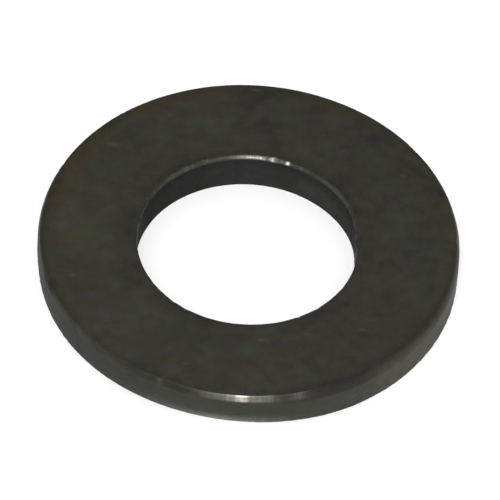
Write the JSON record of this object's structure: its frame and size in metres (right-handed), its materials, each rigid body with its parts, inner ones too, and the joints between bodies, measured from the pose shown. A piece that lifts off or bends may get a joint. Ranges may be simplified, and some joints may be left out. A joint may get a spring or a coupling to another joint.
{
  "type": "flat washer",
  "caption": "Plain round steel washer with a black oxide finish and a clearance hole for an M10 bolt, spreading the load under a bolt head or nut.",
  "frame": {"origin": "centre of the bolt hole at the lower face", "axes": "+Z along the hole's axis, from the lower face to the upper face with the rolled outer edge; X and Y lie in the lower face and are interchangeable because the part is round"},
  "size_m": [0.02, 0.02, 0.002],
  "materials": {
    "blackened_steel": "black oxide, satin, oiled"
  },
  "bodies": {
    "root": {"washer_disc": "blackened_steel"}
  },
  "joints": []
}
